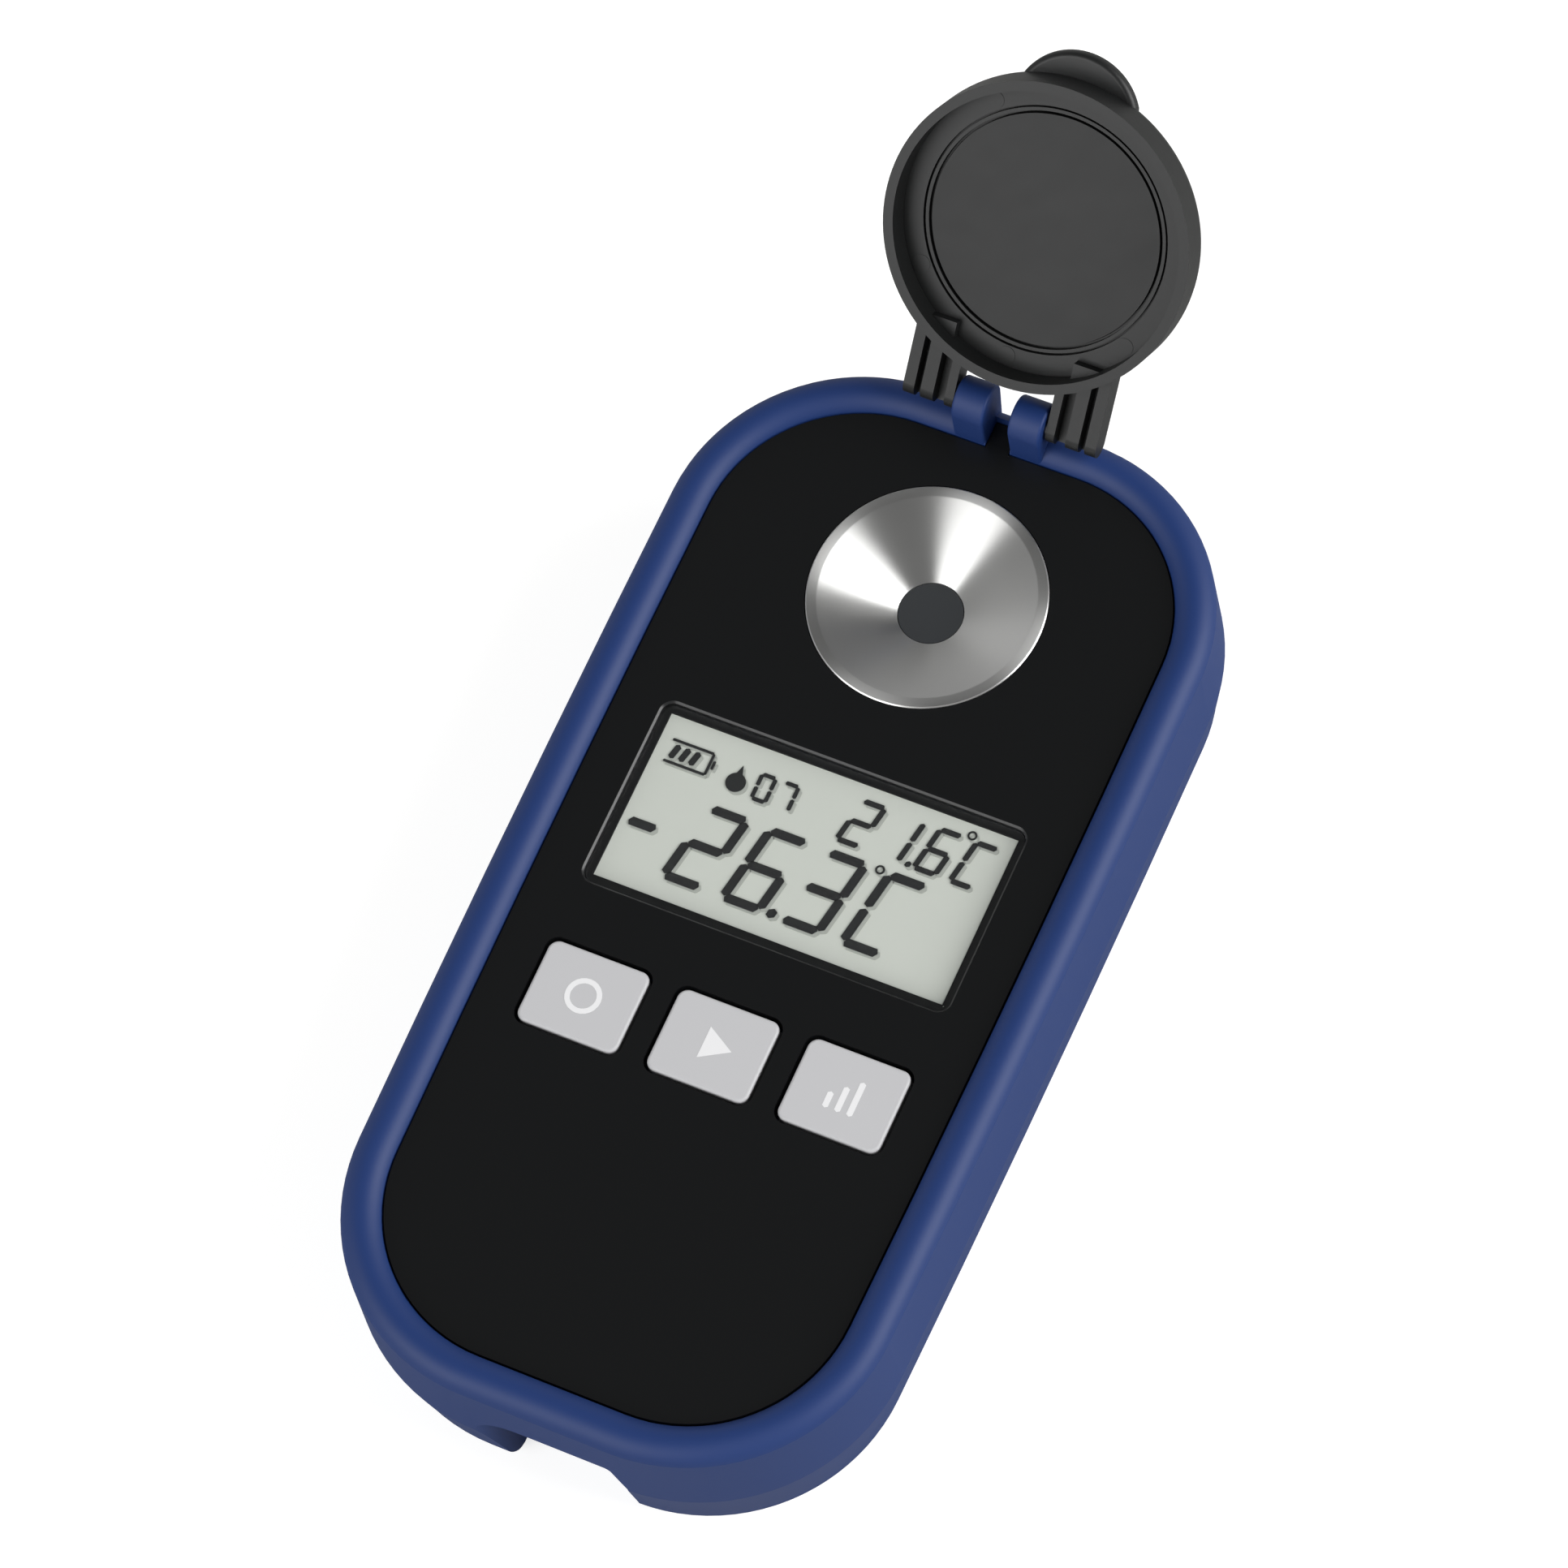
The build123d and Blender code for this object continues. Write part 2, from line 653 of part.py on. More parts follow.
with BuildPart() as optics_block:
    drum(0, well_y, block_plate_z, deck_z, block_plate_r)
    drum(0, well_y, well_bottom_z, deck_z, well_body_r + fit_gap, Mode.SUBTRACT)
    slab(-block_half_x, block_half_x, well_y - block_half_y, well_y + block_half_y,
         block_bottom_z, block_plate_z)
    add(prism.part, mode=Mode.SUBTRACT)
    drum(0, well_y, prism_shoulder_z, well_bottom_z, prism_seal_out, Mode.SUBTRACT)
    for turn in (0, 180):
        with BuildPart(mode=Mode.SUBTRACT):
            with BuildSketch(lamp_plane):
                Circle(light_bore_r)
            extrude(amount=light_far)
            if turn:
                mirror(about=Plane.XZ.offset(-well_y), mode=Mode.REPLACE)
    far_y = well_y + block_half_y
    slab(-sensor_x / 2, sensor_x / 2, far_y - sensor_thickness, far_y, sensor_low_z,
         sensor_low_z + sensor_z, Mode.SUBTRACT)
    for side_x in (-1, 1):
        for side_y in (-1, 1):
            drum(side_x * fixing_x, well_y + side_y * fixing_y, block_plate_z, well_bottom_z,
                 fixing_r + fit_gap, Mode.SUBTRACT)
    drum(-fixing_x, well_y, block_plate_z, well_bottom_z, probe_r, Mode.SUBTRACT)
save(optics_block.part, "optics_block", (0.10, 0.10, 0.11))

with BuildPart() as led_light:
    with BuildSketch(lamp_plane):
        Circle(light_r)
    extrude(amount=light_length)
    fillet(led_light.edges().filter_by(GeomType.CIRCLE).sort_by(Axis.Y)[-1], light_round)
save(led_light.part, "led_light", (0.95, 0.75, 0.25))

with BuildPart() as lens:
    with BuildSketch(lens_plane):
        Circle(lens_r)
    extrude(amount=lens_thickness)
    fillet(lens.edges().filter_by(GeomType.CIRCLE), lens_round)
save(lens.part, "lens", (0.85, 0.90, 0.92))

with BuildPart() as line_sensor:
    slab(-sensor_x / 2, sensor_x / 2, far_y - sensor_thickness, far_y, sensor_low_z, sensor_low_z + sensor_z)
save(line_sensor.part, "line_sensor", (0.15, 0.15, 0.17))

with BuildPart() as sensor_board:
    middle_z = sensor_low_z + sensor_z / 2
    slab(-sensor_board_x / 2, sensor_board_x / 2, far_y, far_y + sensor_board_thickness,
         middle_z - sensor_board_z / 2, middle_z + sensor_board_z / 2)
save(sensor_board.part, "sensor_board", (0.05, 0.30, 0.16))

with BuildPart() as temperature_sensor:
    drum(-fixing_x, well_y, probe_bottom_z, well_bottom_z, probe_r)
save(temperature_sensor.part, "temperature_sensor", (0.70, 0.45, 0.20))

with BuildPart() as well_screws:
    for side_x in (-1, 1):
        for side_y in (-1, 1):
            x, y = side_x * fixing_x, well_y + side_y * fixing_y
            drum(x, y, block_plate_z - fixing_head, block_plate_z, fixing_head_r)
            drum(x, y, block_plate_z, fixing_top_z, fixing_r)
save(well_screws.part, "well_screws", (0.75, 0.75, 0.77))

# Case screws, put in from the back
with BuildPart() as case_screws:
    for x, y in boss_places:
        drum(x, y, head_z, head_top_z, head_r)
        drum(x, y, head_top_z, screw_tip_z, boss_bore)
        slab(x - slot_length / 2, x + slot_length / 2, y - slot_width / 2, y + slot_width / 2,
             head_z, head_z + slot_depth, Mode.SUBTRACT)
        slab(x - slot_width / 2, x + slot_width / 2, y - slot_length / 2, y + slot_length / 2,
             head_z, head_z + slot_depth, Mode.SUBTRACT)
save(case_screws.part, "case_screws", (0.75, 0.75, 0.77))

# Battery and its contacts
cell_top_y = bay_top_y - contact_thickness - cell_nub
cell_bottom_y = cell_top_y - cell_length
with BuildPart() as battery:
    with BuildSketch(Plane.XZ.offset(-cell_top_y)):
        with Locations((bay_x, cell_z)):
            Circle(cell_r)
    extrude(amount=cell_length)
    fillet(battery.edges().filter_by(GeomType.CIRCLE), cell_round)
    with BuildSketch(Plane.XZ.offset(-cell_top_y)):
        with Locations((bay_x, cell_z)):
            Circle(cell_nub_r)
    extrude(amount=-cell_nub)
save(battery.part, "battery", (0.25, 0.45, 0.30))

with BuildPart() as battery_plate:
    slab(bay_x - contact_size / 2, bay_x + contact_size / 2, bay_top_y - contact_thickness, bay_top_y,
         groove_high + fit_gap, split_z)
save(battery_plate.part, "battery_plate", (0.80, 0.78, 0.72))

spring_foot_y = bay_bottom_y + contact_thickness
with BuildPart() as battery_spring:
    slab(bay_x - contact_size / 2, bay_x + contact_size / 2, bay_bottom_y, spring_foot_y,
         groove_high + fit_gap, split_z)
    coil_y = spring_foot_y + spring_wire / 2
    coil_length = cell_bottom_y - spring_wire - coil_y
    with BuildLine() as coil:
        Helix(spring_pitch, coil_length, spring_r, center=(bay_x, coil_y, cell_z),
              direction=(0, 1, 0), cone_angle=-spring_narrowing)
    with BuildSketch(Plane(origin=coil.line @ 0, z_dir=coil.line % 0)):
        Circle(spring_wire)
    sweep(path=coil.line, is_frenet=True)
save(battery_spring.part, "battery_spring", (0.80, 0.78, 0.72))

# Battery cover
with BuildPart() as battery_cover:
    slab(bay_x - cover_half, bay_x + cover_half, cover_bottom_y, cover_top_y, cover_low, tongue_high)
    tongue_half = cover_half + cover_tongue
    slab(bay_x - tongue_half, bay_x + tongue_half, cover_bottom_y, cover_top_y, tongue_low, tongue_high)
    for step in range(grip_count):
        y = cover_bottom_y + (step + 1) * grip_pitch
        slab(bay_x - grip_width / 2, bay_x + grip_width / 2, y, y + grip_pitch / 2,
             cover_low, cover_low + grip_depth, Mode.SUBTRACT)
save(battery_cover.part, "battery_cover", (0.13, 0.22, 0.40))

# Hinge pins, pressed into the knuckles
with BuildPart() as hinge_pins:
    for low_x in (pin_from, -pin_to):
        with BuildSketch(Plane.YZ.offset(low_x)):
            with Locations((hinge_y, hinge_z)):
                Circle(pin_r)
        extrude(amount=pin_to - pin_from)
save(hinge_pins.part, "hinge_pins", (0.78, 0.78, 0.80))

# Lid, sketched on planes that are turned open about the hinge axis
lid_normal = Vector(0, sin(radians(lid_open)), cos(radians(lid_open)))
lid_plane = Plane(origin=(0, hinge_y, hinge_z), x_dir=(1, 0, 0), z_dir=lid_normal)
lid_mid_y = well_y - hinge_y


def lid_level(z):
    """Plane of the lid that is at height z when the lid is closed."""
    return lid_plane.offset(z - hinge_z)


def lid_drum(r, z0, z1, mode=Mode.ADD):
    """Round piece of the lid between two closed heights."""
    with BuildSketch(lid_level(z0)) as disc:
        with Locations((0, lid_mid_y)):
            Circle(r)
    extrude(disc.sketch, amount=z1 - z0, mode=mode)


def lid_side(x):
    """Plane across the lid at x, its axes the lid's own length and height."""
    return Plane(origin=(x, hinge_y, hinge_z), x_dir=lid_plane.y_dir, z_dir=(1, 0, 0))


with BuildPart() as lid_tab:
    tab_root = lid_mid_y - (lid_r ** 2 - tab_half ** 2) ** 0.5
    with BuildSketch(lid_level(tab_low_z)):
        with BuildLine():
            ThreePointArc((-tab_half, tab_root), (0, lid_mid_y - tab_tip_r), (tab_half, tab_root))
            Polyline((tab_half, tab_root), (tab_half, tab_root + tab_root_in),
                     (-tab_half, tab_root + tab_root_in), (-tab_half, tab_root))
        make_face()
    extrude(amount=tab_high_z - tab_low_z)
    rim_edges = lid_tab.edges().filter_by(GeomType.CIRCLE)
    fillet(rim_edges, tab_round)

with BuildPart() as lid_cap:
    lid_drum(lid_r, mouth_z, lid_top_z)
    shoulder = lid_cap.edges().sort_by(lambda e: lid_plane.to_local_coords(e.center()).Z)[-1]
    fillet(shoulder, lid_top_z - straight_z)
    add(lid_tab.part)
    for side in (-1, 1):
        low_x = arm_in if side > 0 else -arm_out
        with BuildSketch(lid_side(low_x)):
            with BuildLine():
                rise = arm_r - arm_plate
                reach = (arm_r ** 2 - rise ** 2) ** 0.5
                Polyline((reach, rise), (-arm_reach, rise), (-arm_reach, arm_r), (0, arm_r))
                nose = (arm_r * sin(radians(arm_nose_angle)), arm_r * cos(radians(arm_nose_angle)))
                ThreePointArc((0, arm_r), nose, (reach, rise))
            make_face()
        extrude(amount=arm_out - arm_in)
        for rib_in, rib_out in arm_ribs:
            low_x = rib_in if side > 0 else -rib_out
            root = lid_mid_y + (mouth_r ** 2 - rib_in ** 2) ** 0.5 + overlap
            with BuildSketch(lid_side(low_x)):
                with BuildLine():
                    Polyline((0, -arm_r), (root, -arm_r), (root, arm_r), (0, arm_r))
                    ThreePointArc((0, arm_r), (arm_r, 0), (0, -arm_r))
                make_face()
            extrude(amount=rib_out - rib_in)
        low_x = arm_in if side > 0 else -bore_to
        with BuildSketch(lid_side(low_x)):
            Circle(pin_bore)
        extrude(amount=bore_to - arm_in, mode=Mode.SUBTRACT)
    lid_drum(mouth_r, mouth_z, ceiling_z, Mode.SUBTRACT)
    with BuildSketch(lid_level(ceiling_z - block_height)):
        for side in (-1, 1):
            with Locations((side * (block_x + block_size / 2), lid_mid_y + block_y + block_size / 2)):
                Rectangle(block_size, block_size)
        with Locations((0, lid_mid_y)):
            Circle(mouth_r + block_overlap, mode=Mode.INTERSECT)
    extrude(amount=block_height)
    lid_drum(groove_r, ceiling_z, groove_z, Mode.SUBTRACT)
    with BuildSketch(lid_level(ridge_z)):
        with Locations((0, lid_mid_y)):
            Circle(ridge_out)
            Circle(ridge_in, mode=Mode.SUBTRACT)
    extrude(amount=groove_z - ridge_z)
    lid_drum(disc_r + disc_gap, groove_z, disc_top_z, Mode.SUBTRACT)
save(lid_cap.part, "lid_cap", (0.24, 0.25, 0.25))

with BuildPart() as lid_disc:
    lid_drum(disc_r, disc_z, disc_top_z)
save(lid_disc.part, "lid_disc", (0.26, 0.27, 0.27))

print(len(nodes), "nodes")
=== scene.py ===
"""Looks of a hand-held digital refractometer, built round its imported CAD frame.

Metres, the row frame of the CAD part: the back lies at Z = 0, +Y runs from the buttons to the hinge.
"""

import json
import math

import bmesh
import bpy
from bpy.props import FloatProperty, IntProperty, PointerProperty, StringProperty
from mathutils import Matrix, Vector


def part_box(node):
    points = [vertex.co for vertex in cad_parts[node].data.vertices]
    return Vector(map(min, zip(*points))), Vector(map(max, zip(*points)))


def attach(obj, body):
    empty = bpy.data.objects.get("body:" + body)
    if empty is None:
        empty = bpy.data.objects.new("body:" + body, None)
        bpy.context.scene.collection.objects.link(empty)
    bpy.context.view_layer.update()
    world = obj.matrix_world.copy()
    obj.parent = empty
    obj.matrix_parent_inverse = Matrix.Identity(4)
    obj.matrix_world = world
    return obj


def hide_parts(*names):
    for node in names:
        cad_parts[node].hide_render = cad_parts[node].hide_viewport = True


bl_info = {
    "name": "Pocket Refractometer",
    "version": (1, 0, 0),
    "blender": (4, 5, 0),
    "location": "View3D > Sidebar > Refractometer",
    "description": "Dresses the packed refractometer: case, display, well, lid and stage",
    "category": "Object",
}

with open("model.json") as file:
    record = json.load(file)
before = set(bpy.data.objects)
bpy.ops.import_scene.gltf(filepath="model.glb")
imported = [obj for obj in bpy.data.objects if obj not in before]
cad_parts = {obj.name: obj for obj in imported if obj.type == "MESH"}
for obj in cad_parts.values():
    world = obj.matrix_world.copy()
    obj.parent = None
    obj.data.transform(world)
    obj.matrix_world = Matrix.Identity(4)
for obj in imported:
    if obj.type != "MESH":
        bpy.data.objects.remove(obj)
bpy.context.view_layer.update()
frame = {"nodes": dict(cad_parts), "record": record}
MM = 0.001
TURN = 2 * math.pi

# The photograph's viewpoint
CAMERA_PLACE_MM = (184.815, -224.709, 676.516)
CAMERA_TURN_DEG = (23.9891, 6.5588, 24.3005)
CAMERA_LENS_MM = 167.07

# Gap at each end of a display bar, as a share of its width
END_GAP = 0.1

# Bars that each character of the display lights, named a to g clockwise from the top, g in the middle
LIT_BARS = {"0": "abcdef", "1": "bc", "2": "abged", "3": "abgcd", "6": "afgedc", "7": "abc", "C": "afed", "-": "g"}


def span(node):
    """Low corner, high corner and middle of a CAD node, in millimetres."""
    low, high = (Vector(corner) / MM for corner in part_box(node))
    return low, high, (low + high) / 2


# Meshes

def finish(bm, name, material, body, nodes=(), sharp_deg=35.0):
    """Turns a bmesh drawn in millimetres into a finished piece that rides on a body."""
    bmesh.ops.scale(bm, vec=(MM, MM, MM), verts=bm.verts)
    bmesh.ops.remove_doubles(bm, verts=bm.verts, dist=0.0005 * MM)
    bmesh.ops.recalc_face_normals(bm, faces=bm.faces)
    for face in bm.faces:
        face.smooth = True
    mesh = bpy.data.meshes.new(name)
    bm.to_mesh(mesh)
    bm.free()
    mesh.set_sharp_from_angle(angle=math.radians(sharp_deg))
    mesh.materials.append(material)
    piece = bpy.data.objects.new(name, mesh)
    bpy.context.scene.collection.objects.link(piece)
    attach(piece, body)
    if nodes:
        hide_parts(*nodes)
    return piece


def turned(points, centre, steps):
    """Bmesh of a ring section, (radius, height) corners in order, spun about an upright axis."""
    bm = bmesh.new()
    corners = [bm.verts.new((centre.x + r, centre.y, z)) for r, z in points]
    edges = [bm.edges.new(pair) for pair in zip(corners, corners[1:] + corners[:1])]
    bmesh.ops.spin(bm, geom=corners + edges, cent=centre, axis=(0, 0, 1), angle=TURN, steps=steps, use_merge=True)
    return bm


def bar(bm, start, end, width):
    """Flat bar with pointed ends, a hexagon pulled out along the line from start to end."""
    start, end = Vector(start), Vector(end)
    radius = width / math.sqrt(3)
    verts = bmesh.ops.create_circle(bm, cap_ends=True, segments=6, radius=radius)["verts"]
    stretch = (end - start).length / 2 - radius
    for vert in verts:
        vert.co.y += math.copysign(stretch, vert.co.y)
    turn = math.atan2(start.x - end.x, end.y - start.y)
    bmesh.ops.rotate(bm, verts=verts, cent=(0, 0, 0), matrix=Matrix.Rotation(turn, 3, "Z"))
    bmesh.ops.translate(bm, verts=verts, vec=((start + end) / 2).to_3d())


def character(bm, name, left, right, low, high, width):
    """One seven-bar character between four bounds."""
    x0, x1 = left + width / 2, right - width / 2
    y0, y2 = low + width / 2, high - width / 2
    y1 = (y0 + y2) / 2
    ends = {"a": ((x0, y2), (x1, y2)), "b": ((x1, y1), (x1, y2)), "c": ((x1, y0), (x1, y1)),
            "d": ((x0, y0), (x1, y0)), "e": ((x0, y0), (x0, y1)), "f": ((x0, y1), (x0, y2)),
            "g": ((x0, y1), (x1, y1))}
    for key in LIT_BARS[name]:
        start, end = (Vector(point) for point in ends[key])
        gap = (end - start).normalized() * width * END_GAP
        bar(bm, start + gap, end - gap, width)


def ring(bm, centre, radius, width):
    """Flat ring: a circle's edge pulled inwards."""
    outer = bmesh.ops.create_circle(bm, segments=24, radius=radius)["verts"]
    edges = list({edge for vert in outer for edge in vert.link_edges})
    pulled = bmesh.ops.extrude_edge_only(bm, edges=edges)["geom"]
    inner = [part for part in pulled if isinstance(part, bmesh.types.BMVert)]
    bmesh.ops.scale(bm, vec=[1 - width / radius] * 3, verts=inner)
    bmesh.ops.translate(bm, verts=outer + inner, vec=(*centre, 0))


def drop(bm, centre, radius, height):
    """Flat drop: a circle whose topmost corner is pulled up to a point."""
    verts = bmesh.ops.create_circle(bm, cap_ends=True, segments=20, radius=radius)["verts"]
    top = max(verts, key=lambda vert: vert.co.y)
    top.co.y = height - radius
    bmesh.ops.translate(bm, verts=verts, vec=(*centre, 0))


def lean(bm, degrees, base_y):
    """Leans everything drawn so far to the right, as display characters lean."""
    shear = Matrix.Identity(3)
    shear[0][1] = math.tan(math.radians(degrees))
    bmesh.ops.translate(bm, verts=bm.verts, vec=(0, -base_y, 0))
    bmesh.ops.transform(bm, verts=bm.verts, matrix=shear.to_4x4())
    bmesh.ops.translate(bm, verts=bm.verts, vec=(0, base_y, 0))


def plate(bm, z, thickness):
    """Gives the flat faces drawn at height 0 a thickness, their upper side at z."""
    bmesh.ops.recalc_face_normals(bm, faces=bm.faces)
    bmesh.ops.solidify(bm, geom=bm.faces[:], thickness=thickness)
    top = max(vert.co.z for vert in bm.verts)
    bmesh.ops.translate(bm, verts=bm.verts, vec=(0, 0, z - top))


# Colours and nodes

def linear(code):
    """Linear RGBA of an sRGB hex colour."""
    parts = [int(code[i:i + 2], 16) / 255 for i in (1, 3, 5)]
    parts = [c / 12.92 if c <= 0.04045 else ((c + 0.055) / 1.055) ** 2.4 for c in parts]
    return (*parts, 1.0)


def add_node(tree, kind, links=None, **settings):
    """Adds one shader node, sets its properties and inputs, and links its inputs."""
    node = tree.nodes.new(kind)
    for key, value in settings.items():
        if hasattr(node, key):
            setattr(node, key, value)
        else:
            node.inputs[key.replace("_", " ")].default_value = value
    for key, source in (links or {}).items():
        tree.links.new(source, node.inputs[key])
    return node


def new_material(name, color, roughness, **settings):
    """Material with one Principled shader, and its tree, shader and Object coordinates."""
    material = bpy.data.materials.new(name)
    material.use_nodes = True
    tree = material.node_tree
    shader = tree.nodes["Principled BSDF"]
    shader.inputs["Base Color"].default_value = linear(color)
    shader.inputs["Roughness"].default_value = roughness
    for key, value in settings.items():
        shader.inputs[key.replace("_", " ")].default_value = value
    place = add_node(tree, "ShaderNodeTexCoord")
    return material, tree, shader, place.outputs["Object"]


def grain(tree, shader, place, size_mm, depth_mm, detail=2.0):
    """Fine moulded or blasted texture, size_mm across and depth_mm deep."""
    noise = add_node(tree, "ShaderNodeTexNoise", {"Vector": place}, Scale=1 / (size_mm * MM), Detail=detail)
    bump = add_node(tree, "ShaderNodeBump", {"Height": noise.outputs["Fac"]}, Distance=depth_mm * MM)
    tree.links.new(bump.outputs["Normal"], shader.inputs["Normal"])


def plain(name, color, roughness, **settings):
    """Material with nothing but its colour, roughness and the settings given."""
    return new_material(name, color, roughness, **settings)[0]


def blue_case_abs(look):
    """ABS, injection moulded with a fine satin texture: a broad soft highlight along the rim."""
    material, tree, shader, place = new_material("satin_blue_abs", look.case_color, 0.58, IOR=1.5)
    grain(tree, shader, place, 0.5, 0.006)
    return material


def black_panel_film(look):
    """Polycarbonate face film, matt printed black: dark with a faint even sheen."""
    material, tree, shader, place = new_material("black_face_film", look.panel_color, 0.3, IOR=1.5)
    grain(tree, shader, place, 0.35, 0.004)
    return material


def lid_abs(look):
    """Grey ABS, injection moulded: dull, with slightly shiny edges."""
    material, tree, shader, place = new_material("satin_grey_abs", look.lid_color, 0.45, IOR=1.46)
    grain(tree, shader, place, 0.6, 0.008)
    return material


def lid_disc_film(look):
    """Matt grey disc of the lid, its surface a little wavy from the mould."""
    material, tree, shader, place = new_material("matt_grey_disc", look.lid_color, 0.5, IOR=1.46)
    grain(tree, shader, place, 5.0, 0.12, detail=1.0)
    return material


def turned_steel(look, centre):
    """Stainless steel, finely turned: the lines run round the well, so it smears light outwards into sectors."""
    material, tree, shader, place = new_material("turned_stainless_steel", look.steel_color, 0.38,
                                                 Metallic=1.0, Anisotropic=0.9)
    middle = add_node(tree, "ShaderNodeVectorMath", {0: place}, operation="SUBTRACT")
    middle.inputs[1].default_value = centre * MM
    tree.links.new(middle.outputs[0], shader.inputs["Tangent"])
    away = add_node(tree, "ShaderNodeVectorMath", {0: middle.outputs[0]}, operation="LENGTH")
    lines = add_node(tree, "ShaderNodeTexNoise", {"W": away.outputs["Value"]}, noise_dimensions="1D",
                     Scale=1 / (look.lathe_pitch_mm * MM), Detail=2.0)
    bump = add_node(tree, "ShaderNodeBump", {"Height": lines.outputs["Fac"]}, Distance=0.0006 * MM)
    tree.links.new(bump.outputs["Normal"], shader.inputs["Normal"])
    return material


def clear_acrylic(look):
    """Cast acrylic pane: clear, and it lets the lamps through to the display under it."""
    material, tree, shader, place = new_material("clear_acrylic", "#FAFCFC", 0.02, IOR=1.49, Transmission_Weight=1.0)
    path = add_node(tree, "ShaderNodeLightPath")
    lit = add_node(tree, "ShaderNodeMath", {0: path.outputs["Is Shadow Ray"], 1: path.outputs["Is Diffuse Ray"]},
                   operation="ADD", use_clamp=True)
    open_way = add_node(tree, "ShaderNodeBsdfTransparent")
    mix = add_node(tree, "ShaderNodeMixShader", {0: lit.outputs[0], 1: shader.outputs[0], 2: open_way.outputs[0]})
    tree.links.new(mix.outputs[0], tree.nodes["Material Output"].inputs["Surface"])
    return material


class RefractometerLook(bpy.types.PropertyGroup):
    """Sizes and colours of the visible surfaces."""
    case_color: StringProperty(name="Case", description="Blue ABS of both case halves", default="#10306A")
    panel_color: StringProperty(name="Face panel", description="Black film of the face", default="#101112")
    lid_color: StringProperty(name="Lid", description="Grey ABS of the lid", default="#161717")
    button_color: StringProperty(name="Buttons", description="Grey of the button caps", default="#C3C3C5")
    sign_color: StringProperty(name="Button signs", description="Pale print on the buttons", default="#ECECED")
    display_color: StringProperty(name="Display", description="Pale ground of the display", default="#CDD0C8")
    segment_color: StringProperty(name="Segments", description="Dark bars of the display", default="#141516")
    shadow_color: StringProperty(name="Segment shadows", description="Soft shadow under the bars", default="#A9ACA5")
    steel_color: StringProperty(name="Steel", description="Steel of the sample well", default="#ECECEA")
    floor_color: StringProperty(name="Floor", description="Pale floor and backdrop", default="#BABAB8")
    lathe_pitch_mm: FloatProperty(name="Lathe lines", description="Spacing of the turned lines, mm", default=0.12)
    segment_width_mm: FloatProperty(name="Bar width", description="Width of the large bars, mm", default=0.94)
    lean_deg: FloatProperty(name="Lean", description="Lean of the characters, degrees", default=10.0)
    turned_steps: IntProperty(name="Turned steps", description="Facets round a turned piece", default=160)
    reading: StringProperty(name="Reading", description="Three digits of the large reading", default="263")


class REFRACTOMETER_OT_case(bpy.types.Operator):
    """Gives the case, panel and inner pieces their materials"""
    bl_idname = "refractometer.case"
    bl_label = "Case and Inner Pieces"

    def execute(self, context):
        look = context.scene.refractometer_look
        well_centre = span("sample_well")[2]
        table = {
            "case_blue": blue_case_abs(look),
            "panel_black": black_panel_film(look),
            "clear_pane": clear_acrylic(look),
            "display_glass": plain("display_polariser", look.display_color, 0.5),
            "white_plastic": plain("white_abs", "#D8D8D6", 0.5),
            "seal_rubber": plain("silicone_rubber", "#161616", 0.7),
            "board_green": plain("solder_mask", "#0E4A2C", 0.4),
            "chip_black": plain("moulded_epoxy", "#151516", 0.5),
            "plated_steel": plain("nickel_plated_steel", "#C0C0C2", 0.3, Metallic=1.0),
            "turned_steel": turned_steel(look, well_centre),
            "prism_glass": plain("dark_prism_glass", "#3A3C3E", 0.1),
            "block_black": plain("black_acetal", "#101011", 0.6),
            "lamp_resin": plain("amber_lamp_resin", "#E6B84C", 0.15),
            "probe_brass": plain("plain_brass", "#B38A4A", 0.3, Metallic=1.0),
            "cell_jacket": plain("cell_jacket_film", "#335C42", 0.3),
            "button_grey": plain("grey_silicone_button", look.button_color, 0.5),
            "lid_grey": lid_abs(look),
            "lid_disc_grey": lid_disc_film(look),
        }
        for entry in frame["record"]["subparts"]:
            node = frame["nodes"][entry["node"]]
            node.data.materials.clear()
            node.data.materials.append(table[entry["material_slot"]])
        return {"FINISHED"}


